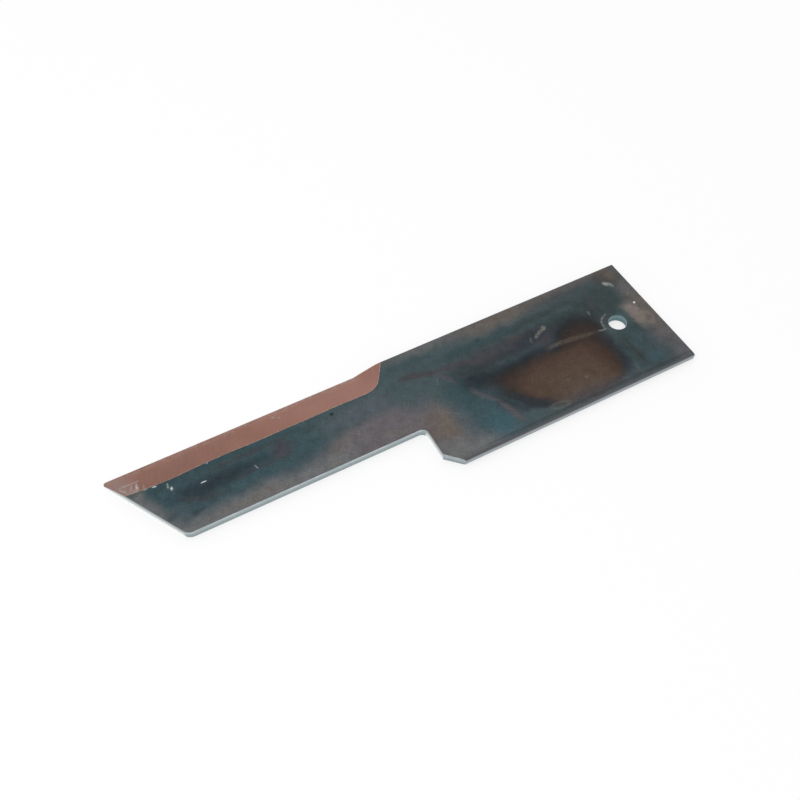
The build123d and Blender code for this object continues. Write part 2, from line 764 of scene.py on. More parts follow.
    def wall(self, loop: Loop, above: list[int], below: list[int]) -> None:
        """Close the side between the two faces.

        Args:
            loop: Outline or hole.
            above: Numbers of the upper face's outermost points.
            below: Numbers of the lower face's outermost points.
        """
        start, end = (np.array([self.vertices[n] for n in ring]) for ring in (above, below))
        rows = [above]
        for k in range(1, self.wall_rows):
            first = len(self.vertices)
            self.vertices.extend(map(tuple, start + (end - start) * (k / self.wall_rows)))
            rows.append(list(range(first, len(self.vertices))))
        rows.append(below)
        for upper, lower in zip(rows, rows[1:]):
            for i, edge in enumerate(loop.edges):
                j = (i + 1) % len(upper)
                skin = Skin.SHEARED if edge is Edge.SHEARED else Skin.MILL
                self.faces.append((upper[i], lower[i], lower[j], upper[j]))
                self.skins.append(skin.value)

    def paint(self) -> None:
        """Give every face of the top and bottom its finish, from the place of its middle."""
        level = (Skin.TINTED.value, Skin.UNDERSIDE.value)
        flats = [i for i, skin in enumerate(self.skins) if skin in level]
        middles = np.array([
            np.mean([self.vertices[v] for v in self.faces[i]], axis=0)[:2] for i in flats])
        gaps = self.gap(middles)
        skins = self.form.top(middles, gaps)[1]
        for i, skin, (_, y), gap in zip(flats, skins, middles, gaps):
            if self.skins[i] == Skin.TINTED.value:
                self.skins[i] = int(skin)
            elif gap < self.form.burr_radius:
                self.skins[i] = Skin.SHEARED.value
            elif abs(y) > self.form.edge_y - self.form.mill_radius:
                self.skins[i] = Skin.MILL.value

    def to_object(self, name: str) -> bpy.types.Object:
        """Turn the points and faces into a closed mesh object.

        Args:
            name: Name of the object.

        Returns:
            The object, with smooth faces and sharp creases.
        """
        mesh = bpy.data.meshes.new(name)
        mesh.from_pydata([tuple(c * MM for c in v) for v in self.vertices], [], self.faces)
        mesh.polygons.foreach_set("material_index", self.skins)
        tidy = bmesh.new()
        tidy.from_mesh(mesh)
        bmesh.ops.remove_doubles(tidy, verts=tidy.verts, dist=2e-3 * MM)
        bmesh.ops.dissolve_degenerate(tidy, edges=tidy.edges, dist=1e-3 * MM)
        for face in tidy.faces:
            face.smooth = True
        crease = {Skin.TINTED.value, Skin.BEVEL.value}
        for edge in tidy.edges:
            if len(edge.link_faces) == 2:
                is_crease = {face.material_index for face in edge.link_faces} == crease
                is_flat = edge.calc_face_angle() < math.radians(self.sharp_angle)
                edge.smooth = is_flat and not is_crease
        log.info("%s: open edges: %d", name, sum(len(e.link_faces) != 2 for e in tidy.edges))
        tidy.to_mesh(mesh)
        tidy.free()
        knife = bpy.data.objects.new(name, mesh)
        bpy.context.scene.collection.objects.link(knife)
        return knife


Socket = bpy.types.NodeSocket | float | tuple[float, ...]


class NodeSheet:
    """The nodes of one material, or of the world."""

    def __init__(self, owner: bpy.types.Material | bpy.types.World) -> None:
        """Start with an empty sheet.

        Args:
            owner: The material or world that the nodes belong to.
        """
        owner.use_nodes = True
        self.owner = owner
        self.tree = owner.node_tree
        self.tree.nodes.clear()

    def add(self, kind: str, links: dict[str | int, Any] | None = None,
            out: str | int | None = None, **settings: Any) -> Any:
        """Add a node with its settings and links.

        Args:
            kind: Blender's name for the node, without the word ShaderNode.
            links: For each input, by name or number, a socket to join or a value to set.
            out: Output to return, or None for the first one in use.
            **settings: Properties of the node.

        Returns:
            The output socket, or the node itself where it has none.
        """
        node = self.tree.nodes.new("ShaderNode" + kind)
        for key, value in settings.items():
            setattr(node, key, value)
        for key, value in (links or {}).items():
            if isinstance(key, int):
                socket = node.inputs[key]
            else:
                socket = next(s for s in node.inputs if s.name == key and s.enabled)
            if isinstance(value, bpy.types.NodeSocket):
                self.tree.links.new(value, socket)
            else:
                socket.default_value = value
        if out is not None:
            return node.outputs[out]
        return next((s for s in node.outputs if s.enabled), node)

    def millimetres(self, up: float = 1.0) -> Socket:
        """Give the place on the knife.

        Args:
            up: Scale of the height, or 0 to leave it out.

        Returns:
            A socket with the place, in millimetres.
        """
        coordinates = self.add("TexCoord", None, "Object")
        return self.add("VectorMath", {0: coordinates, 1: (1 / MM, 1 / MM, up / MM)},
                        operation="MULTIPLY")

    def metal(self, colour: Socket, rough: Socket, height: Socket, strength: float,
              depth: float) -> bpy.types.Material:
        """Close the sheet as bare metal.

        Args:
            colour: Colour of the metal.
            rough: Its roughness.
            height: Pattern of its relief, from 0 to 1.
            strength: How much of the relief shows.
            depth: Depth of the relief, in millimetres.

        Returns:
            The finished material.
        """
        bump = self.add("Bump", {"Strength": strength, "Distance": depth * MM, "Height": height})
        shader = self.add("BsdfPrincipled", {
            "Base Color": colour, "Metallic": 1.0, "Roughness": rough, "Normal": bump})
        self.add("OutputMaterial", {"Surface": shader})
        return self.owner


def pattern(where: Socket, size: float, detail: float, roughness: float) -> dict[str, Any]:
    """List a noise's inputs, its size in millimetres."""
    return {"Vector": where, "Scale": 1 / size, "Detail": detail, "Roughness": roughness}


def span(value: Socket, start: float, end: float, low: float = 0.0,
         high: float = 1.0) -> dict[str, Any]:
    """List the inputs that turn a value from start to end into one from low to high."""
    return {"Value": value, "From Min": start, "From Max": end, "To Min": low, "To Max": high}


class Tone(Enum):
    """Colours seen on the knife, as sRGB hex: temper and scale first, then bare steel and the
    painted light, glint and shade on its edges.
    """

    INK = "262b2f"
    NAVY = "2e353a"
    DUSK = "35434a"
    PINE = "353f3f"
    SMOKE = "424549"
    DEEP_TEAL = "384a4e"
    TEAL = "3e5156"
    SEA = "415b64"
    SLATE = "475457"
    BLUE_GREY = "525a60"
    PLUM = "494549"
    MAUVE = "646064"
    ASH = "696a6b"
    BROWN_GREY = "625b58"
    TAN = "6f655c"
    UMBER = "504139"
    DARK_UMBER = "3a302c"
    RUSSET = "44332e"
    OCHRE = "584b3e"
    ROSE_GREY = "7b716b"
    LIVER = "82645a"
    DRAB = "9c8680"
    COPPER = "a07a70"
    SCUFF = "85827a"
    BARE = "dde4e4"
    GROUND_DEEP = "946c60"
    GROUND_PALE = "9e7467"
    CREASE_BURR = "c0aba2"
    KEEN_EDGE = "a68d85"
    BURNISHED = "a9b4b7"
    TORN = "a0abae"
    # Painted light on the blade's sheared faces that look towards -X: grey at the upper rim, near
    # white at the foot.
    PAINTED_LIT_RIM = "8e9696"
    PAINTED_LIT_FOOT = "f2f6f6"
    # Painted glint on the upper corner of the blade's back.
    PAINTED_GLINT = "d3dadc"
    HOLE_WALL = "708b91"
    MILL_DARK = "5d5c60"
    MILL_PALE = "a5adb1"
    # Painted contact shade at the lower corner of the mill edges.
    MILL_PAINTED_SHADE = "747b7e"

    @property
    def colour(self) -> tuple[float, float, float, float]:
        """The tone as linear RGBA."""
        return linear(self.value)


class Form(Enum):
    """Outline of a zone of tint."""

    OVAL = "plain oval"
    BLOCK = "oval with full corners, like a rounded rectangle"
    RING = "band along an oval"


@dataclass(frozen=True)
class Cloud:
    """A soft-edged zone of one temper colour, placed in millimetres."""

    x: float
    y: float
    half_length: float
    half_width: float
    tone: Tone
    angle: float = 0.0
    soft: float = 0.4
    strength: float = 1.0
    form: Form = Form.OVAL

    def cover(self, sheet: NodeSheet, where: Socket) -> Socket:
        """Draw the zone's cover.

        Args:
            sheet: Sheet to draw on.
            where: Place on the knife, in millimetres.

        Returns:
            A socket from 0 outside the zone to its strength inside.
        """
        along, across = own_axes(sheet, where, self, (self.half_length, self.half_width))
        if self.form is Form.BLOCK:
            along = sheet.add("Math", {0: along, 1: along}, operation="MULTIPLY")
            across = sheet.add("Math", {0: across, 1: across}, operation="MULTIPLY")
        reach = distance(sheet, along, across)
        rim, core = 1 + self.soft, 1 - self.soft
        if self.form is Form.RING:
            off = sheet.add("Math", {0: reach, 1: 1.0}, operation="SUBTRACT")
            reach = sheet.add("Math", {0: off}, operation="ABSOLUTE")
            rim, core = self.soft, 0.0
        return sheet.add("MapRange", span(reach, rim, core, 0.0, self.strength),
                         interpolation_type="SMOOTHSTEP")


@dataclass(frozen=True)
class Stroke:
    """A thin line on the surface: a scratch, a scuff or a streak of tint.

    Its bend lifts the middle above the ends.
    """

    x: float
    y: float
    length: float
    width: float
    angle: float
    tone: Tone = Tone.SCUFF
    bend: float = 0.0
    strength: float = 1.0

    def cover(self, sheet: NodeSheet, where: Socket) -> Socket:
        """Draw the line's cover.

        Args:
            sheet: Sheet to draw on.
            where: Place on the knife, in millimetres.

        Returns:
            A socket from 0 off the line to its strength on it.
        """
        along, across = own_axes(sheet, where, self, (self.length / 2, self.width / 2))
        square = sheet.add("Math", {0: along, 1: along}, operation="MULTIPLY")
        lifted = sheet.add("Math", {0: square, 1: 2 * self.bend / self.width, 2: across},
                           operation="MULTIPLY_ADD")
        reach = distance(sheet, square, lifted)
        return sheet.add("MapRange", span(reach, 1.15, 0.3, 0.0, self.strength),
                         interpolation_type="SMOOTHSTEP")


Mark = Cloud | Stroke


def own_axes(sheet: NodeSheet, where: Socket, mark: Mark, half: Point) -> tuple[Socket, Socket]:
    """Measure places along a mark's own two axes.

    A face carries over a hundred marks, so each is drawn with few nodes and no change
    from one kind of value to another, which the renderer's memory for one material allows.

    Args:
        sheet: Sheet to draw on.
        where: Place on the knife, in millimetres.
        mark: The mark, for its middle and its angle.
        half: Half its length and half its width.

    Returns:
        Two sockets, each 1 or -1 at the mark's ends.
    """
    turn = math.radians(mark.angle)
    shift = sheet.add("VectorMath", {0: where, 1: (mark.x, mark.y, 0)}, operation="SUBTRACT")
    axes = (
        (math.cos(turn) / half[0], math.sin(turn) / half[0], 0),
        (-math.sin(turn) / half[1], math.cos(turn) / half[1], 0),
    )
    along, across = (
        sheet.add("VectorMath", {0: shift, 1: axis}, "Value", operation="DOT_PRODUCT")
        for axis in axes
    )
    return along, across


def distance(sheet: NodeSheet, along: Socket, across: Socket) -> Socket:
    """Work out how far a place is from a mark's middle.

    Args:
        sheet: Sheet to draw on.
        along: The place's measure along the mark.
        across: Its measure across the mark.

    Returns:
        A socket with the distance.
    """
    square = sheet.add("Math", {0: along, 1: along}, operation="MULTIPLY")
    total = sheet.add("Math", {0: across, 1: across, 2: square}, operation="MULTIPLY_ADD")
    return sheet.add("Math", {0: total}, operation="SQRT")


# The blade, from the tip to the step: a teal field with a dark lens in it, smoky lines
# round the lens, and brown-grey scale along the back and the tip.
BLADE_TINT: tuple[Mark, ...] = (
    Cloud(-176, 7, 50, 16, Tone.TEAL),
    Cloud(-136, 15, 9, 3.5, Tone.SLATE, soft=0.8, strength=0.8),
    Cloud(-176, -2.5, 36, 2.6, Tone.BLUE_GREY, soft=0.9, strength=0.7),
    Cloud(-172, -10.6, 46, 7.4, Tone.ASH),
    Cloud(-172, -6.6, 12, 1.8, Tone.TAN, soft=0.9, strength=0.35),
    Cloud(-208.5, 4, 19, 4.8, Tone.ASH, 120, 0.6),
    Cloud(-200, 0.5, 4, 4, Tone.BLUE_GREY, soft=0.9, strength=0.7),
    Cloud(-201.8, 1.0, 1.8, 1.5, Tone.PLUM, soft=0.9, strength=0.6),
    Cloud(-190, 15.6, 25, 2.4, Tone.DEEP_TEAL, soft=0.7, strength=0.6),
    Cloud(-150, 14, 16, 3.0, Tone.DEEP_TEAL, soft=0.7, strength=0.4),
    Cloud(-170, 1.5, 30, 2.4, Tone.TEAL, soft=0.6, strength=0.9),
    Cloud(-172, 8.5, 25, 5.6, Tone.TEAL, soft=0.3, strength=0.9),
    Cloud(-177, 8.3, 20, 3.2, Tone.DUSK, -1, 0.6, 0.9),
    Cloud(-188, 7.6, 10, 3.6, Tone.DUSK, -8, 0.7, 0.9),
    Cloud(-177, 8.2, 9, 1.4, Tone.NAVY, -1, 0.9, 0.55),
    Cloud(-186, 6.8, 8, 2.2, Tone.NAVY, -4, 0.9, 0.55),
    Cloud(-153.8, 9.3, 4.0, 3.6, Tone.PLUM, soft=0.9, strength=0.75),
    Stroke(-171, 13.6, 34, 2.8, 2, Tone.SMOKE, 0.5, 0.75),
    Stroke(-166, 5.0, 24, 2.6, 3, Tone.SMOKE, -0.3, 0.75),
    Stroke(-190.5, 4.2, 16, 2.8, -20, Tone.SMOKE, -1.8, 0.7),
)

# The middle and the neck: mauve scale that browns at the step.
NECK_TINT: tuple[Mark, ...] = (
    Cloud(-116, -4, 27, 10.5, Tone.MAUVE, 3, 0.4),
    Cloud(-141, -8, 13, 5.0, Tone.ASH, 18, 0.6),
    Cloud(-97, -6, 10, 11, Tone.MAUVE, 0, 0.4),
    Cloud(-132, 1, 6, 3.0, Tone.TAN, 20, 0.9, 0.3),
    Cloud(-109, -5, 9, 2.5, Tone.TAN, 0, 0.9, 0.25),
    Cloud(-116, 11.0, 20, 4.5, Tone.BLUE_GREY, 3, 0.7, 0.9),
    Cloud(-97, 22, 15, 7, Tone.SLATE, -4, 0.5),
    Cloud(-92, 24.5, 9, 4, Tone.DEEP_TEAL, 0, 0.8, 0.5),
    Cloud(-98, 13, 8, 5.5, Tone.SLATE, 0, 0.7),
    Cloud(-95, 4.5, 7, 5, Tone.SLATE, 0, 0.8, 0.7),
    Cloud(-91, -17, 10, 14, Tone.BROWN_GREY, 0, 0.5),
    Cloud(-92, -12, 4, 6, Tone.TAN, 0, 0.9, 0.4),
    Cloud(-93, -24, 13, 5.5, Tone.ASH, 0, 0.7, 0.9),
    Cloud(-83, 3, 6, 9, Tone.SLATE, 0, 0.6),
    Cloud(-75.0, -13, 9, 18, Tone.TEAL, 12, 0.4),
    Cloud(-83.5, -17, 3.4, 11, Tone.BLUE_GREY, 4, 0.8, 0.75),
    Cloud(-81, -26.5, 9, 3.4, Tone.ASH, 0, 0.9, 0.8),
    Cloud(-78, -1, 6, 9, Tone.DEEP_TEAL, 10, 0.6, 0.6),
    Cloud(-71, -22, 6, 6.5, Tone.SEA, 0, 0.8, 0.8),
)

# The tang, from its upper edge down: brown scale, a thin teal band, a smoky belt, and
# the cooler field beside the hole.
TANG_TINT: tuple[Mark, ...] = (
    Cloud(-40, 29.0, 64, 3.5, Tone.BROWN_GREY, 0, 0.9, 0.5),
    Cloud(-44, 28.0, 22, 6.0, Tone.BROWN_GREY, 0, 0.7, 0.75),
    Cloud(-42, 26, 18, 2.5, Tone.TAN, 2, 0.9, 0.25),
    Cloud(-15, 25, 14, 4.0, Tone.SMOKE, 0, 0.8, 0.6),
    Cloud(-10, 29.5, 24, 2.6, Tone.BROWN_GREY, 0, 0.9, 0.6),
    Cloud(-82, 29.0, 15, 2.6, Tone.ASH, 0, 0.9, 0.5),
    Cloud(-60, 17.8, 24, 3.0, Tone.PINE, 0, 0.6, 0.45),
    Cloud(-58, 18.5, 18, 1.8, Tone.DEEP_TEAL, 0, 0.8, 0.8),
    Cloud(-28, 18.8, 17, 2.2, Tone.PINE, 3, 0.7, 0.7),
    Cloud(-10, 16.5, 6, 1.6, Tone.PINE, -32, 0.7, 0.7),
    Cloud(-44, 10.5, 33, 5.0, Tone.SMOKE, -3, 0.4),
    Cloud(-20, 13.5, 13, 3.0, Tone.PINE, 0, 0.7, 0.8),
    Cloud(-44, 14.0, 2.0, 1.2, Tone.UMBER, 0, 0.9, 0.35),
    Cloud(-38, 10.5, 8, 3.4, Tone.NAVY, 6, 0.9, 0.7),
    Cloud(-62, 9.0, 9, 2.6, Tone.PLUM, 0, 0.8, 0.5),
    Cloud(-67.5, 2.5, 7.5, 5.5, Tone.INK, 0, 0.8, 0.75),
    Cloud(-70, 9.0, 8, 3.0, Tone.PINE, 0, 0.7, 0.7),
    Cloud(-50, 6.8, 13, 2.4, Tone.NAVY, -3, 0.8, 0.55),
    Cloud(-33.5, 5.5, 3.5, 3.0, Tone.PLUM, 20, 0.8, 0.6),
    Cloud(-6, 8, 6, 8, Tone.SMOKE, 0, 0.6, 0.8),
    Cloud(2, 14, 12, 10, Tone.PINE, 0, 0.5, 0.7),
    Cloud(4, -16, 10, 14, Tone.PINE, 0, 0.35, 0.6),
    Cloud(1.5, -12, 2.5, 7, Tone.TEAL, 0, 0.8, 0.6),
    Cloud(3.5, -23, 4.5, 3.5, Tone.SEA, 0, 0.9, 0.5),
    Cloud(10, -15, 4.5, 7, Tone.BLUE_GREY, 0, 0.9, 0.5),
    Cloud(-4, -16, 2.4, 12, Tone.PINE, 0, 0.6, 0.4),
)

# The overheated oval on the tang: umber, ringed in dark brown and then navy, with a
# darker lobe above its right half and soft streaks that run off to its left.
OVAL_TINT: tuple[Mark, ...] = (
    Cloud(-38, -11, 29.0, 15, Tone.NAVY, -2, 0.22),
    Cloud(-22, -11, 15.0, 14.5, Tone.NAVY, 0, 0.35, 1.0, Form.BLOCK),
    Cloud(-56, -0.5, 13, 4.0, Tone.INK, -4, 0.8, 0.8),
    Cloud(-19, 3.5, 12.5, 8.0, Tone.INK, 14, 0.4, 0.95),
    Cloud(-51, -25.0, 13, 2.4, Tone.SLATE, -5, 0.7, 0.9),
    Cloud(-37.0, -12.5, 24.0, 11.8, Tone.DARK_UMBER, -4, 0.25),
    Cloud(-23.5, -12, 11.0, 12.5, Tone.DARK_UMBER, 0, 0.4, 1.0, Form.BLOCK),
    Cloud(-56, -4.0, 7, 3.6, Tone.DARK_UMBER, -5, 0.8, 0.9),
    Cloud(-19, 2.3, 9.0, 5.4, Tone.DARK_UMBER, 14, 0.6, 0.8),
    Cloud(-37.5, -12.5, 20.0, 9.6, Tone.UMBER, -4, 0.45),
    Cloud(-24, -13, 9.0, 11.0, Tone.UMBER, 0, 0.7, 0.9, Form.BLOCK),
    Cloud(-31, -22, 15, 5.0, Tone.UMBER, 0, 0.5, 0.9),
    Cloud(-32, -23.5, 13, 4.0, Tone.BROWN_GREY, -4, 0.9, 0.4),
    Cloud(-27, -26.5, 15, 2.2, Tone.PLUM, 0, 0.8, 0.6),
    Cloud(-34, -15, 14, 6.5, Tone.OCHRE, -5, 0.9, 0.5),
    Stroke(-56.0, -17.0, 24, 8.0, -42, Tone.NAVY, -1.0, 0.75),
    Cloud(-15.5, -11, 3.2, 8.0, Tone.RUSSET, 0, 0.9, 0.5),
    Cloud(-11.0, -5, 2.6, 9.0, Tone.DARK_UMBER, 0, 0.9, 0.45),
    Cloud(-20, 3.0, 6.0, 2.8, Tone.RUSSET, 10, 0.9, 0.3),
    Stroke(-64.6, -18.5, 17, 4.0, -70, Tone.SMOKE, 0.0, 0.75),
    Stroke(-64.4, -19.0, 16, 3.4, -70, Tone.MAUVE, 0.0, 0.4),
    Stroke(-70.0, -6.0, 14, 4.0, -58, Tone.SMOKE, -0.6, 0.7),
    Stroke(-70.5, -6.4, 14, 3.2, -58, Tone.MAUVE, -0.6, 0.3),
    Stroke(-61.8, -14.5, 13, 2.4, -58, Tone.DEEP_TEAL, 0.4, 0.5),
    Stroke(-89.5, 15.6, 21, 5.0, -12, Tone.SMOKE, 0.4, 0.7),
    Stroke(-88.5, 15.2, 18, 2.6, -12, Tone.PLUM, 0.4, 0.7),
    Stroke(-72, 12.6, 24, 3.4, -6, Tone.PLUM, 0.0, 0.6),
    Stroke(-79.3, 9.5, 14, 3.2, -52, Tone.SMOKE, 0.9, 0.7),
    Stroke(-79.6, 9.8, 13, 3.0, -52, Tone.MAUVE, 0.9, 0.3),
)

# The bolted end: brown-grey scale with the pinkish print of a washer.
END_TINT: tuple[Mark, ...] = (
    Cloud(16.5, -1, 6.0, 22, Tone.BROWN_GREY, 0, 0.7, 0.75),
    Cloud(16, 3, 4.0, 10, Tone.TAN, 0, 0.8, 0.3),
    Cloud(15.0, -14, 4.5, 7, Tone.MAUVE, 0, 0.8, 0.4),
    Cloud(16.5, -27, 6.0, 5, Tone.MAUVE, 0, 0.8, 0.6),
    Cloud(9.6, 1.2, 3.0, 6.6, Tone.ROSE_GREY, 0, 0.7, 0.95),
    Cloud(13.5, -3, 2.0, 3.2, Tone.ROSE_GREY, 10, 0.5, 0.5, Form.RING),
    Cloud(15.0, 15, 2.4, 4.0, Tone.MAUVE, 0, 0.9, 0.6),
    Cloud(10.5, 25, 6.0, 5.0, Tone.UMBER, 0, 0.7, 0.55),
    Cloud(12.8, 25.5, 2.4, 3.0, Tone.TAN, 0, 0.9, 0.4),
    Stroke(-3.5, 16.5, 15, 2.4, 82, Tone.PLUM, 0.5, 0.6),
)

# Lines that are straight on the real knife, such as the one along its lower edge.
STRAIGHT_TINT: tuple[Mark, ...] = (
    Stroke(-30, -27.8, 120, 1.8, 0, Tone.DARK_UMBER, 0.0, 0.35),
    Stroke(-2.6, -16.5, 20, 1.6, 90, Tone.DARK_UMBER, 0.0, 0.35),
    Stroke(-186, 1.4, 24, 2.0, -2, Tone.SMOKE, -0.8, 0.4),
    Cloud(-194, -2.0, 1.5, 1.1, Tone.INK, 30, 0.9, 0.45),
    Cloud(-191.5, -1.5, 1.0, 0.7, Tone.INK, 0, 0.9, 0.35),
    Cloud(-129.5, 15.0, 0.8, 0.7, Tone.INK, 0, 0.7, 0.9),
    Cloud(-141.0, 12.0, 1.4, 0.8, Tone.INK, 0, 0.9, 0.3),
    Cloud(-71.5, 4.0, 2.0, 1.2, Tone.INK, 0, 0.9, 0.5),
    Cloud(-58.0, 20.5, 0.9, 0.7, Tone.INK, 0, 0.9, 0.4),
)

# Scuffs and scratches that cut through the tint.
SCUFFS: tuple[Mark, ...] = (
    Stroke(-33.4, 11.0, 7.0, 2.2, 28, Tone.SCUFF, 0.4, 0.5),
    Stroke(-29.9, 12.6, 3.2, 2.6, 50, Tone.SCUFF, 0.0, 0.6),
    Stroke(-38.2, 9.3, 3.6, 1.2, 70, Tone.SCUFF, 0.3, 0.3),
    Stroke(-23, 1.5, 27, 3.2, -6, Tone.TAN, 0.4, 0.34),
    Stroke(-31, 2.0, 10, 2.0, 14, Tone.TAN, 0.0, 0.2),
    Stroke(-8.0, 10.4, 3.0, 1.4, 84, Tone.SCUFF, 0.0, 0.4),
    Stroke(-4.4, 5.2, 6.4, 1.2, 36, Tone.SCUFF, 0.9, 0.6),
    Stroke(-6.5, 1.6, 6.0, 1.2, 80, Tone.SCUFF, 0.2, 0.6),
    Stroke(-8.3, -0.6, 4.8, 1.1, -8, Tone.SCUFF, -0.6, 0.6),
    Cloud(9.0, 20.7, 1.6, 0.9, Tone.BARE, -40, 0.9, 0.32),
    Cloud(8.2, 21.6, 0.7, 0.9, Tone.BARE, 0, 0.9, 0.2),
    Cloud(10.4, 19.0, 0.6, 0.9, Tone.BARE, 0, 0.9, 0.2),
    Cloud(13.0, 6.0, 0.5, 0.5, Tone.BARE, 0, 0.6, 1.0),
    Stroke(13.5, 11.5, 3.2, 1.2, 60, Tone.SCUFF, 0.4, 0.3),
    Stroke(13.6, 2.5, 4.0, 1.0, 80, Tone.RUSSET, 0.3, 0.35),
    Stroke(13.2, -5.8, 4.0, 1.0, 20, Tone.ROSE_GREY, -0.8, 0.5),
    Cloud(-198.6, 12.7, 0.45, 0.8, Tone.BARE, -10, 0.8, 0.8),
    Stroke(-199.5, 14.6, 2.6, 0.9, 80, Tone.BARE, 0.0, 0.35),
    Stroke(-186.6, 9.7, 2.8, 0.7, 0, Tone.BARE, 0.1, 0.8),
    Stroke(-166.0, 6.3, 2.6, 0.6, -72, Tone.BARE, 0.0, 0.35),
    Stroke(-204.2, 16.7, 2.0, 0.8, -12, Tone.BARE, 0.0, 0.6),
    Stroke(-207.6, 17.0, 1.8, 0.6, -5, Tone.BARE, 0.0, 0.3),
    Cloud(-210.6, 15.4, 2.2, 1.4, Tone.SCUFF, 30, 0.9, 0.5),
    Stroke(-182.5, 17.1, 1.0, 0.6, 0, Tone.BARE, 0.0, 0.35),
    Stroke(-165.0, 17.4, 1.0, 0.5, 0, Tone.BARE, 0.0, 0.3),
    Stroke(-138.0, -7.2, 5.5, 1.4, 0, Tone.ROSE_GREY, 0.0, 0.8),
    Stroke(-123.8, 1.5, 2.6, 0.7, 62, Tone.SCUFF, 0.0, 0.4),
    Stroke(-84.0, 9.0, 4.5, 0.7, 62, Tone.SCUFF, 0.0, 0.25),
    Stroke(-86.0, -8.0, 6.5, 0.7, -42, Tone.SCUFF, 0.0, 0.25),
    Stroke(-88.5, -6.4, 4.0, 0.6, -40, Tone.SCUFF, 0.0, 0.2),
    Cloud(-46.0, -25.2, 3.6, 1.4, Tone.SCUFF, -8, 0.6, 0.2, Form.RING),
    Cloud(-36.0, -16.0, 0.8, 0.6, Tone.SCUFF, 0, 0.9, 0.25),
    Cloud(-28.5, -18.3, 0.9, 0.7, Tone.SCUFF, 0, 0.9, 0.25),
)

# The underside was never photographed: broad clouds of the same colours.
UNDERSIDE_TINT: tuple[Mark, ...] = (
    Cloud(-178, 8, 40, 14, Tone.TEAL, 2, 0.6),
    Cloud(-118, 4, 26, 14, Tone.MAUVE, -6, 0.7),
    Cloud(-84, -8, 14, 22, Tone.TEAL, 20, 0.6),
    Cloud(-42, 6, 30, 18, Tone.DEEP_TEAL, -8, 0.4),
    Cloud(-40, 5, 20, 10, Tone.SMOKE, -8, 0.8, 0.8),
    Cloud(-38, 5, 11, 5, Tone.DARK_UMBER, -8, 0.9, 0.45),
    Cloud(10, -6, 10, 24, Tone.BROWN_GREY, 0, 0.7, 0.7),
)


@dataclass(frozen=True)
class Wear:
    """Scuffs and scratches, broken into flecks by a fine noise."""

    marks: tuple[Mark, ...] = ()
    gaps: tuple[float, float, float, float] = (0.35, 0.58, 0.35, 1.1)
    fleck: float = 0.9

    def lay(self, sheet: NodeSheet, where: Socket, colour: Socket,
            bared: Socket = 0.0) -> tuple[Socket, Socket]:
        """Lay the marks over a colour.

        Args:
            sheet: Sheet to draw on.
            where: Place on the knife, in millimetres.
            colour: Colour below the marks.
            bared: What is bared already, from 0 to 1.

        Returns:
            The new colour, and what is bared.
        """
        flecks = sheet.add("TexNoise", pattern(where, self.fleck, 2.0, 0.7), "Fac",
                           noise_dimensions="2D")
        broken = sheet.add("MapRange", span(flecks, *self.gaps))
        for mark in self.marks:
            cover = sheet.add("Math", {0: mark.cover(sheet, where), 1: broken},
                              operation="MULTIPLY", use_clamp=True)
            colour = sheet.add("Mix", {"Factor": cover, "A": colour, "B": mark.tone.colour},
                               data_type="RGBA")
            bared = sheet.add("Math", {0: bared, 1: cover}, operation="MAXIMUM")
        return colour, bared


def lay_clouds(sheet: NodeSheet, marks: tuple[Mark, ...], where: Socket,
               colour: Socket) -> Socket:
    """Lay marks over a colour, the later ones on top.

    Args:
        sheet: Sheet to draw on.
        marks: The marks, the lowest first.
        where: Place on the knife, in millimetres.
        colour: Colour below them.

    Returns:
        The new colour.
    """
    for mark in marks:
        colour = sheet.add("Mix", {
            "Factor": mark.cover(sheet, where), "A": colour, "B": mark.tone.colour,
        }, data_type="RGBA")
    return colour


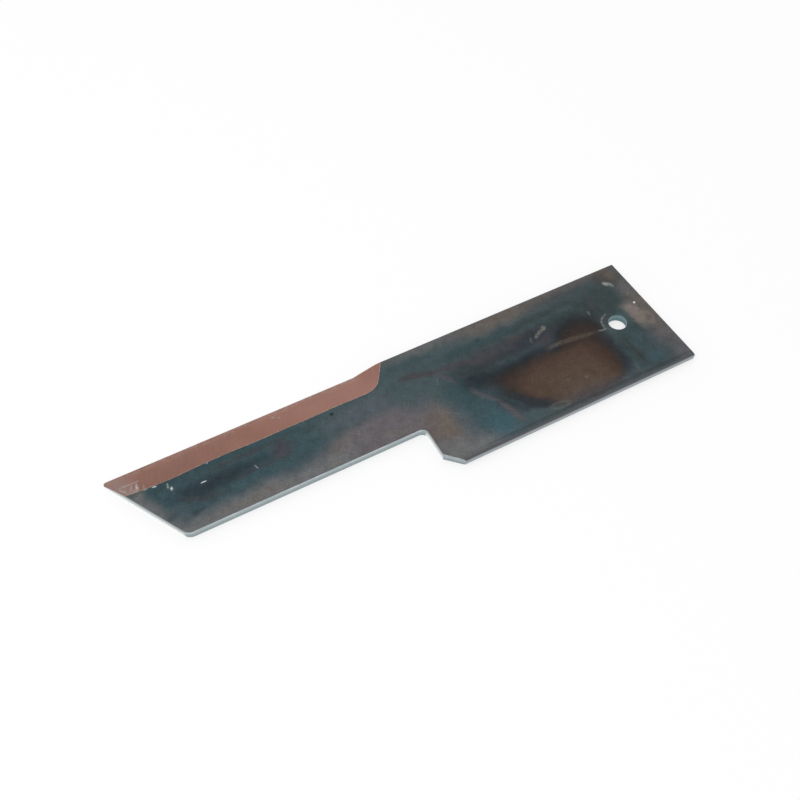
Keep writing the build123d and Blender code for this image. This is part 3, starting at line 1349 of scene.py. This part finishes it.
@dataclass(frozen=True)
class HeatTint:
    """Spring steel in its thin rolling scale, coloured by hardening and tempering.

    The eye sees soft clouds of teal, plum, slate and brown with a low satin sheen, fine
    speckle in the scale, hair scratches and a few bright scuffs. The scale's grains and
    the hair scratches are about 0.1 mm on the real knife, too fine to show in a picture
    of the whole, so both are drawn coarser.
    """

    name: str
    clouds: tuple[Mark, ...]
    straight: tuple[Mark, ...] = ()
    wear: Wear = Wear()
    base: Tone = Tone.SLATE
    sway: float = 16.0
    sway_reach: float = 5.0
    ripple: float = 3.5
    ripple_reach: float = 1.6
    speckle: float = 0.7
    mottle: float = 4.0
    hair_length: float = 13.0
    hair_width: float = 0.45
    hair_leans: tuple[Point, ...] = ((58.0, 0.0), (-40.0, 70.0))

    def make(self) -> bpy.types.Material:
        """Make the material.

        Returns:
            The finished material.
        """
        sheet = NodeSheet(bpy.data.materials.new(self.name))
        where = sheet.millimetres(0)
        colour = self.tint(sheet, where)
        grit = sheet.add("TexNoise", pattern(where, self.speckle, 2.0, 0.6), "Fac",
                         noise_dimensions="2D")
        cloudy = sheet.add("TexNoise", pattern(where, self.mottle, 4.0, 0.65), "Fac",
                           noise_dimensions="2D")
        hairs = self.hairs(sheet, where)
        light = sheet.add("MapRange", span(grit, 0.25, 0.75, 0.86, 1.14))
        broad = sheet.add("MapRange", span(cloudy, 0.25, 0.75, 0.80, 1.20))
        light = sheet.add("Math", {0: light, 1: broad}, operation="MULTIPLY")
        light = sheet.add("Math", {0: hairs, 1: 0.2, 2: light}, operation="MULTIPLY_ADD")
        colour = sheet.add("HueSaturation", {"Color": colour, "Value": light})
        colour, bared = self.wear.lay(sheet, where, colour, hairs)
        rough = sheet.add("MapRange", span(cloudy, 0.3, 0.7, 0.40, 0.52))
        height = sheet.add("Math", {0: bared, 1: -0.8, 2: grit}, operation="MULTIPLY_ADD")
        return sheet.metal(colour, rough, height, 0.3, 0.04)

    def tint(self, sheet: NodeSheet, where: Socket) -> Socket:
        """Lay the clouds over each other, on places that two noises push about.

        Args:
            sheet: Sheet to draw on.
            where: Place on the knife, in millimetres.

        Returns:
            A colour socket.
        """
        drifted = where
        for size, reach in ((self.sway, self.sway_reach), (self.ripple, self.ripple_reach)):
            drift = sheet.add("TexNoise", pattern(where, size, 2.0, 0.5), "Color",
                              noise_dimensions="2D")
            centred = sheet.add("VectorMath", {0: drift, 1: (0.5, 0.5, 0.5)},
                                operation="SUBTRACT")
            drifted = sheet.add("VectorMath", {0: centred, 1: (reach, reach, 0), 2: drifted},
                                operation="MULTIPLY_ADD")
        colour = lay_clouds(sheet, self.clouds, drifted, self.base.colour)
        return lay_clouds(sheet, self.straight, where, colour)

    def hairs(self, sheet: NodeSheet, where: Socket) -> Socket:
        """Draw faint hair scratches that lean both ways.

        Args:
            sheet: Sheet to draw on.
            where: Place on the knife, in millimetres.

        Returns:
            A socket from 0 to 1 on the scratches.
        """
        total: Socket = 0.0
        for lean, shift in self.hair_leans:
            turned = sheet.add("Mapping", {
                "Vector": where, "Location": (shift, 0, 0), "Rotation": (0, 0, math.radians(lean)),
                "Scale": (self.hair_length, self.hair_width, 1)}, vector_type="TEXTURE")
            thin = sheet.add("TexNoise", {"Vector": turned, "Scale": 1.0, "Detail": 1.0}, "Fac",
                             noise_dimensions="2D")
            line = sheet.add("MapRange", span(thin, 0.66, 0.80))
            total = sheet.add("Math", {0: line, 1: total}, operation="MAXIMUM")
        return total


# Broad tones of the ground face: darker towards the tip, drab at the very end, and
# more coppery at the run-out.
BEVEL_TINT: tuple[Mark, ...] = (
    Cloud(-196, 20, 26, 9, Tone.LIVER, 0, 0.8, 0.35),
    Cloud(-120, 24, 26, 8, Tone.COPPER, 0, 0.7, 0.5),
    Cloud(-217.5, 21, 6, 9, Tone.DRAB, 0, 0.7, 0.75),
)

# Scratches and flecks on the ground face, most of them at the tip.
BEVEL_SCUFFS: tuple[Mark, ...] = (
    Stroke(-212.5, 23.3, 9.5, 0.8, 0, Tone.BARE, 0.0, 0.28),
    Stroke(-215.6, 21.0, 5.0, 0.8, -56, Tone.BARE, 0.0, 0.28),
    Stroke(-212.4, 20.7, 4.2, 0.8, 62, Tone.BARE, 0.0, 0.24),
    Stroke(-210.2, 20.2, 5.6, 1.3, 86, Tone.BARE, 0.0, 0.36),
    Stroke(-207.8, 18.8, 3.4, 0.9, 84, Tone.BARE, 0.0, 0.15),
    Cloud(-211.5, 18.6, 1.8, 1.0, Tone.BARE, 40, 0.9, 0.16),
    Cloud(-150.6, 26.6, 0.7, 0.5, Tone.BARE, 0, 0.9, 0.22),
    Cloud(-148.6, 25.0, 0.5, 0.5, Tone.BARE, 0, 0.9, 0.22),
)


@dataclass(frozen=True)
class GroundBevel:
    """Ground steel, tempered to a rose-brown after grinding.

    The eye sees an even coppery brown, fine grinding lines across the bevel, and a pale
    broken burr where it meets the dark upper face and at the cutting edge. The real
    grinding lines are about 0.1 mm apart and are drawn coarser.
    """

    thickness: float
    name: str = "ground_bevel_steel"
    grain: float = 0.35
    grain_length: float = 9.0
    grain_angle: float = 78.0
    cloud: float = 12.0
    burr_gap: float = 2.2
    burr_depth: Point = (0.14, 0.02)
    keen_height: Point = (1.3, 0.3)
    clouds: tuple[Mark, ...] = BEVEL_TINT
    wear: Wear = Wear(BEVEL_SCUFFS, (0.38, 0.6, 0.3, 1.2))

    def make(self) -> bpy.types.Material:
        """Make the material.

        Returns:
            The finished material.
        """
        sheet = NodeSheet(bpy.data.materials.new(self.name))
        where = sheet.millimetres(0)
        height = sheet.add("SeparateXYZ", {0: sheet.millimetres()}, "Z")
        drift = sheet.add("TexNoise", pattern(where, self.cloud, 4.0, 0.65), "Fac",
                          noise_dimensions="2D")
        level = sheet.add("MapRange", span(drift, 0.3, 0.7))
        colour = sheet.add("Mix", {
            "Factor": level, "A": Tone.GROUND_DEEP.colour, "B": Tone.GROUND_PALE.colour,
        }, data_type="RGBA")
        colour = lay_clouds(sheet, self.clouds, where, colour)
        turned = sheet.add("Mapping", {
            "Vector": where, "Rotation": (0, 0, math.radians(self.grain_angle)),
            "Scale": (self.grain_length, self.grain, 1)}, vector_type="TEXTURE")
        grain = sheet.add("TexNoise", pattern(turned, 1.0, 2.0, 0.6), "Fac",
                          noise_dimensions="2D")
        light = sheet.add("MapRange", span(grain, 0.3, 0.7, 0.93, 1.07))
        colour = sheet.add("HueSaturation", {"Color": colour, "Value": light})
        colour = self.burr(sheet, colour, height, where)
        colour, _ = self.wear.lay(sheet, where, colour)
        rough = sheet.add("MapRange", span(grain, 0.3, 0.7, 0.36, 0.48))
        return sheet.metal(colour, rough, grain, 0.3, 0.02)

    def burr(self, sheet: NodeSheet, colour: Socket, height: Socket, where: Socket) -> Socket:
        """Draw the pale burr at the crease and the bright cutting edge.

        Args:
            sheet: Sheet to draw on.
            colour: Colour of the bevel.
            height: Height above the underside, in millimetres.
            where: Place on the knife, in millimetres.

        Returns:
            The colour with both lines.
        """
        breaks = sheet.add("TexNoise", pattern(where, self.burr_gap, 3.0, 0.7), "Fac",
                           noise_dimensions="2D")
        broken = sheet.add("MapRange", span(breaks, 0.42, 0.66, 0.1, 0.9))
        crease = [self.thickness - depth for depth in self.burr_depth]
        for band, tone in ((crease, Tone.CREASE_BURR), (self.keen_height, Tone.KEEN_EDGE)):
            line = sheet.add("MapRange", span(height, *band), interpolation_type="SMOOTHSTEP")
            cover = sheet.add("Math", {0: line, 1: broken}, operation="MULTIPLY")
            colour = sheet.add("Mix", {"Factor": cover, "A": colour, "B": tone.colour},
                               data_type="RGBA")
        return colour


@dataclass(frozen=True)
class ShearedEdge:
    """Cut face of the bar: a smooth burnished band above, torn fracture below.

    The eye sees pale blue-grey steel with fine upright tear lines. On the blade, faces that look
    towards -X carry painted light that grows to near white at their foot, and the upper corner
    of the blade's back carries a painted glint.
    """

    thickness: float
    name: str = "sheared_edge_steel"
    tear: float = 0.5
    # Length of the painted glint's broken stretches, and its band below the upper corner.
    glint_length: float = 9.0
    glint_depth: Point = (0.9, 0.5)
    # Facing and places along the knife that get the painted light.
    painted_light_facing: Point = (0.76, 0.86)
    painted_light_from: Point = (-80.0, -90.0)
    torn_height: Point = (2.6, 1.8)
    hole_reach: Point = (10.0, 8.0)

    def make(self) -> bpy.types.Material:
        """Make the material.

        Returns:
            The finished material.
        """
        sheet = NodeSheet(bpy.data.materials.new(self.name))
        place = sheet.millimetres()
        split = sheet.add("SeparateXYZ", {0: place}, "X").node
        along, height = split.outputs["X"], split.outputs["Z"]
        # Painted light: sheared faces on the blade that look towards -X are made lighter.
        normal = sheet.add("NewGeometry", None, "Normal")
        towards = sheet.add("VectorMath", {0: normal, 1: (-1, 0, 0)}, "Value",
                            operation="DOT_PRODUCT")
        facing = sheet.add("MapRange", span(towards, *self.painted_light_facing),
                           interpolation_type="SMOOTHSTEP")
        on_blade = sheet.add("MapRange", span(along, *self.painted_light_from))
        painted_light_mask = sheet.add("Math", {0: facing, 1: on_blade}, operation="MULTIPLY")
        upright = sheet.add("VectorMath", {0: place, 1: (1, 1, 0.12)}, operation="MULTIPLY")
        tear = sheet.add("TexNoise", pattern(upright, self.tear, 3.0, 0.65), "Fac")
        waver = sheet.add("Math", {0: tear, 1: 0.8, 2: height}, operation="MULTIPLY_ADD")
        torn = sheet.add("MapRange", span(waver, *self.torn_height),
                         interpolation_type="SMOOTHSTEP")
        colour = sheet.add("Mix", {
            "Factor": torn, "A": Tone.BURNISHED.colour, "B": Tone.TORN.colour,
        }, data_type="RGBA")
        # The painted light runs from grey at the upper rim to near white at the foot, a painted
        # reflection of the floor.
        fading = sheet.add("MapRange", span(height, self.thickness, 0.3))
        painted_light_tone = sheet.add("Mix", {
            "Factor": fading, "A": Tone.PAINTED_LIT_RIM.colour, "B": Tone.PAINTED_LIT_FOOT.colour,
        }, data_type="RGBA")
        colour = sheet.add("Mix", {"Factor": painted_light_mask, "A": colour, "B": painted_light_tone},
                           data_type="RGBA")
        streak = sheet.add("MapRange", span(tear, 0.3, 0.7, 0.93, 1.06))
        colour = sheet.add("HueSaturation", {"Color": colour, "Value": streak})
        colour = self.glint(sheet, colour, place, height)
        from_bolt = sheet.add("VectorMath", {0: place}, "Value", operation="LENGTH")
        in_hole = sheet.add("MapRange", span(from_bolt, *self.hole_reach, 0.0, 0.9))
        colour = sheet.add("Mix", {"Factor": in_hole, "A": colour, "B": Tone.HOLE_WALL.colour},
                           data_type="RGBA")
        rough = sheet.add("MapRange", span(torn, 0.0, 1.0, 0.34, 0.56))
        depth = sheet.add("Math", {0: tear, 1: torn}, operation="MULTIPLY")
        return sheet.metal(colour, rough, depth, 0.5, 0.06)

    def glint(self, sheet: NodeSheet, colour: Socket, place: Socket, height: Socket) -> Socket:
        """Paint a glint on the upper corner along the blade's back, in broken lengths.

        Args:
            sheet: Sheet to draw on.
            colour: Colour of the face.
            place: Place on the knife, in millimetres.
            height: Height above the underside, in millimetres.

        Returns:
            The colour with the painted glint.
        """
        # Painted glint: a bright broken line near the upper corner of faces that look towards -Y.
        along = sheet.add("VectorMath", {0: place, 1: (1, 0, 0)}, operation="MULTIPLY")
        lengths = sheet.add("TexNoise", pattern(along, self.glint_length, 3.0, 0.6), "Fac")
        shown = sheet.add("MapRange", span(lengths, 0.42, 0.62, 0.1, 0.8))
        normal = sheet.add("NewGeometry", None, "Normal")
        back = sheet.add("VectorMath", {0: normal, 1: (0, -1, 0)}, "Value",
                         operation="DOT_PRODUCT")
        on_back = sheet.add("MapRange", span(back, 0.75, 0.95))
        ends = [self.thickness - depth for depth in self.glint_depth]
        band = sheet.add("MapRange", span(height, *ends), interpolation_type="SMOOTHSTEP")
        cover = sheet.add("Math", {0: shown, 1: on_back}, operation="MULTIPLY")
        cover = sheet.add("Math", {0: cover, 1: band}, operation="MULTIPLY")
        return sheet.add("Mix", {"Factor": cover, "A": colour, "B": Tone.PAINTED_GLINT.colour},
                         data_type="RGBA")


@dataclass(frozen=True)
class MillEdge:
    """Rounded edge of the bar as it left the rolls.

    The eye sees the dark tint run over the upper corner and thin out to pale grey-blue
    down the side, a painted contact shade darkening the lower corner, and shallow lengthwise
    rolling lines.
    """

    name: str = "mill_edge_steel"
    line_length: float = 12.0
    line_width: float = 0.4
    tint_height: Point = (3.7, 2.1)
    # Heights between which painted contact shade darkens the lower corner.
    painted_shade_height: Point = (1.4, 0.4)

    def make(self) -> bpy.types.Material:
        """Make the material.

        Returns:
            The finished material.
        """
        sheet = NodeSheet(bpy.data.materials.new(self.name))
        place = sheet.millimetres()
        height = sheet.add("SeparateXYZ", {0: place}, "Z")
        stretched = sheet.add("VectorMath", {
            0: place, 1: (1 / self.line_length, 1 / self.line_width, 1 / self.line_width),
        }, operation="MULTIPLY")
        lines = sheet.add("TexNoise", pattern(stretched, 1.0, 3.0, 0.6), "Fac")
        waver = sheet.add("Math", {0: lines, 1: 0.7, 2: height}, operation="MULTIPLY_ADD")
        thinned = sheet.add("MapRange", span(waver, *self.tint_height),
                            interpolation_type="SMOOTHSTEP")
        colour = sheet.add("Mix", {
            "Factor": thinned, "A": Tone.MILL_DARK.colour, "B": Tone.MILL_PALE.colour,
        }, data_type="RGBA")
        # Painted contact shade: the lower corner is darkened towards the floor.
        painted_shade = sheet.add("MapRange", span(height, *self.painted_shade_height, 0.0, 0.7),
                          interpolation_type="SMOOTHSTEP")
        colour = sheet.add("Mix", {"Factor": painted_shade, "A": colour, "B": Tone.MILL_PAINTED_SHADE.colour},
                           data_type="RGBA")
        shade = sheet.add("MapRange", span(lines, 0.3, 0.7, 0.93, 1.07))
        colour = sheet.add("HueSaturation", {"Color": colour, "Value": shade})
        rough = sheet.add("MapRange", span(lines, 0.3, 0.7, 0.38, 0.5))
        return sheet.metal(colour, rough, lines, 0.3, 0.03)


@dataclass(frozen=True)
class Lamp:
    """A square soft lamp, in metres and watts."""

    name: str
    place: tuple[float, float, float]
    size: float
    power: float


@dataclass(frozen=True)
class Studio:
    """Plain white table, soft light and a camera where the photographer's was."""

    floor_half: float = 3.0
    floor_drop: float = 0.02
    floor_white: float = 0.92
    floor_glow: float = 0.6
    ambient: float = 0.85
    lamps: tuple[Lamp, ...] = (
        Lamp("key", (-0.9, -0.2, 1.3), 1.0, 6.0),
        Lamp("back", (0.5, 0.9, 1.2), 1.2, 1.5),
    )
    lamp_aim: tuple[float, float, float] = (-0.1, 0.0, 0.0)
    focal_px: float = 961.0
    picture_px: float = 800.0
    camera_mm: tuple[float, float, float] = (-205.4, -201.7, 317.7)
    azimuth: float = -26.26
    elevation: float = 53.33
    roll: float = 1.96

    def build(self) -> None:
        """Build floor, world, lamps and camera."""
        self.build_floor()
        self.build_world()
        for lamp in self.lamps:
            self.hang(lamp)
        self.build_camera()

    def build_floor(self) -> None:
        """Lay the pale floor just below the knife, as white to the eye as a lit backdrop."""
        half = self.floor_half
        mesh = bpy.data.meshes.new("floor")
        corners = [(-half, -half, 0), (half, -half, 0), (half, half, 0), (-half, half, 0)]
        mesh.from_pydata(corners, [], [(0, 1, 2, 3)])
        floor = bpy.data.objects.new("floor", mesh)
        bpy.context.scene.collection.objects.link(floor)
        sheet = NodeSheet(bpy.data.materials.new("white_table"))
        lit = sheet.add("BsdfDiffuse", {"Color": (*[self.floor_white] * 3, 1)})
        bright = sheet.add("Emission", {"Color": (1, 1, 1, 1), "Strength": 1.0})
        rays = sheet.add("LightPath", None, 0).node.outputs
        seen = sheet.add("Math", {0: rays["Is Camera Ray"], 1: rays["Is Glossy Ray"]},
                         operation="MAXIMUM")
        seen = sheet.add("Math", {0: seen, 1: rays["Is Transmission Ray"]}, operation="MAXIMUM")
        share = sheet.add("Math", {0: seen, 1: self.floor_glow}, operation="MULTIPLY")
        mixed = sheet.add("MixShader", {0: share, 1: lit, 2: bright})
        sheet.add("OutputMaterial", {"Surface": mixed})
        mesh.materials.append(sheet.owner)
        floor.location.z = -self.floor_drop * MM

    def build_world(self) -> None:
        """Surround the table with even white light."""
        world = bpy.data.worlds.new("studio")
        bpy.context.scene.world = world
        sheet = NodeSheet(world)
        seen = sheet.add("LightPath", None, "Is Camera Ray")
        strength = sheet.add("Math", {0: seen, 1: self.ambient}, operation="MAXIMUM")
        light = sheet.add("Background", {"Color": (1, 1, 1, 1), "Strength": strength})
        sheet.add("OutputWorld", {"Surface": light})

    def hang(self, lamp: Lamp) -> None:
        """Hang a lamp and aim it at the knife.

        Args:
            lamp: The lamp to hang.
        """
        light = bpy.data.lights.new(lamp.name, "AREA")
        light.size = lamp.size
        light.energy = lamp.power
        holder = bpy.data.objects.new(lamp.name, light)
        holder.location = lamp.place
        aim = Vector(self.lamp_aim) - Vector(lamp.place)
        holder.rotation_euler = aim.to_track_quat("-Z", "Y").to_euler()
        bpy.context.scene.collection.objects.link(holder)

    def build_camera(self) -> None:
        """Set the camera by the place, direction and focal length found from the photograph."""
        lens = bpy.data.cameras.new("camera")
        lens.sensor_width = 36.0
        lens.lens = self.focal_px * lens.sensor_width / self.picture_px
        lens.clip_start = 0.01
        camera = bpy.data.objects.new("camera", lens)
        spin = Matrix.Rotation(math.radians(self.azimuth), 4, "Z")
        spin = spin @ Matrix.Rotation(math.radians(90 - self.elevation), 4, "X")
        spin = spin @ Matrix.Rotation(math.radians(-self.roll), 4, "Z")
        place = Vector(self.camera_mm) * MM
        camera.matrix_world = Matrix.Translation(place) @ spin
        bpy.context.scene.collection.objects.link(camera)
        bpy.context.scene.camera = camera


@dataclass(frozen=True)
class Knife:
    """The dressed knife."""

    name: str = "knife_steel"
    nicks: tuple[Nick, ...] = (
        Nick(-199.5, 13.3, 2.2, 0.9, 70),
        Nick(-187.0, 9.6, 2.6, 0.7, 0),
        Nick(-166.5, 6.0, 2.4, 0.6, -70, 0.08),
        Nick(-204.0, 16.6, 2.4, 0.8, -15),
        Nick(-209.5, 19.5, 3.0, 0.8, 80, 0.10),
        Nick(13.0, 6.0, 0.9, 0.8, 0, 0.15),
    )

    def form(self) -> KnifeForm:
        """Take the bar's size and the hole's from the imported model.

        Returns:
            The knife's form, in millimetres.
        """
        low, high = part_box("knife")
        hole = next(m for m in frame["record"]["mounts"] if m["name"] == "bolt_hole")
        return KnifeForm(
            width=(high.y - low.y) / MM,
            thickness=(high.z - low.z) / MM,
            end_x=high.x / MM,
            hole_radius=hole["dims"]["r_mm"],
            nicks=self.nicks,
        )

    def build(self) -> bpy.types.Object:
        """Build the knife.

        Returns:
            The finished piece, which takes the place of the solid knife, now hidden.
        """
        form = self.form()
        piece = KnifeMesh(form).build(self.name)
        self.dress(piece, form.thickness)
        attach(piece, "root")
        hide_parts("knife")
        return piece

    def dress(self, piece: bpy.types.Object, thickness: float) -> None:
        """Give the piece its finishes, in the order of Skin.

        Args:
            piece: The bare piece.
            thickness: The bar's thickness, in millimetres.
        """
        tint = BLADE_TINT + NECK_TINT + TANG_TINT + OVAL_TINT + END_TINT
        for finish in (
            HeatTint("heat_tinted_steel", tint, STRAIGHT_TINT, Wear(SCUFFS)),
            GroundBevel(thickness),
            ShearedEdge(thickness),
            MillEdge(),
            HeatTint("underside_scale", UNDERSIDE_TINT, base=Tone.BLUE_GREY, sway_reach=26.0),
        ):
            piece.data.materials.append(finish.make())


def main() -> None:
    """Build the studio and the knife."""
    logging.basicConfig(level=logging.INFO, format="%(name)s: %(message)s")
    bpy.context.scene.view_settings.view_transform = "Standard"
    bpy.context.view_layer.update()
    Studio().build()
    log.info("studio: floor, world, lamps and camera")
    piece = Knife().build()
    log.info("%s: %d faces, %d finishes", piece.name, len(piece.data.polygons),
             len(piece.data.materials))


if __name__ == "__main__":
    main()
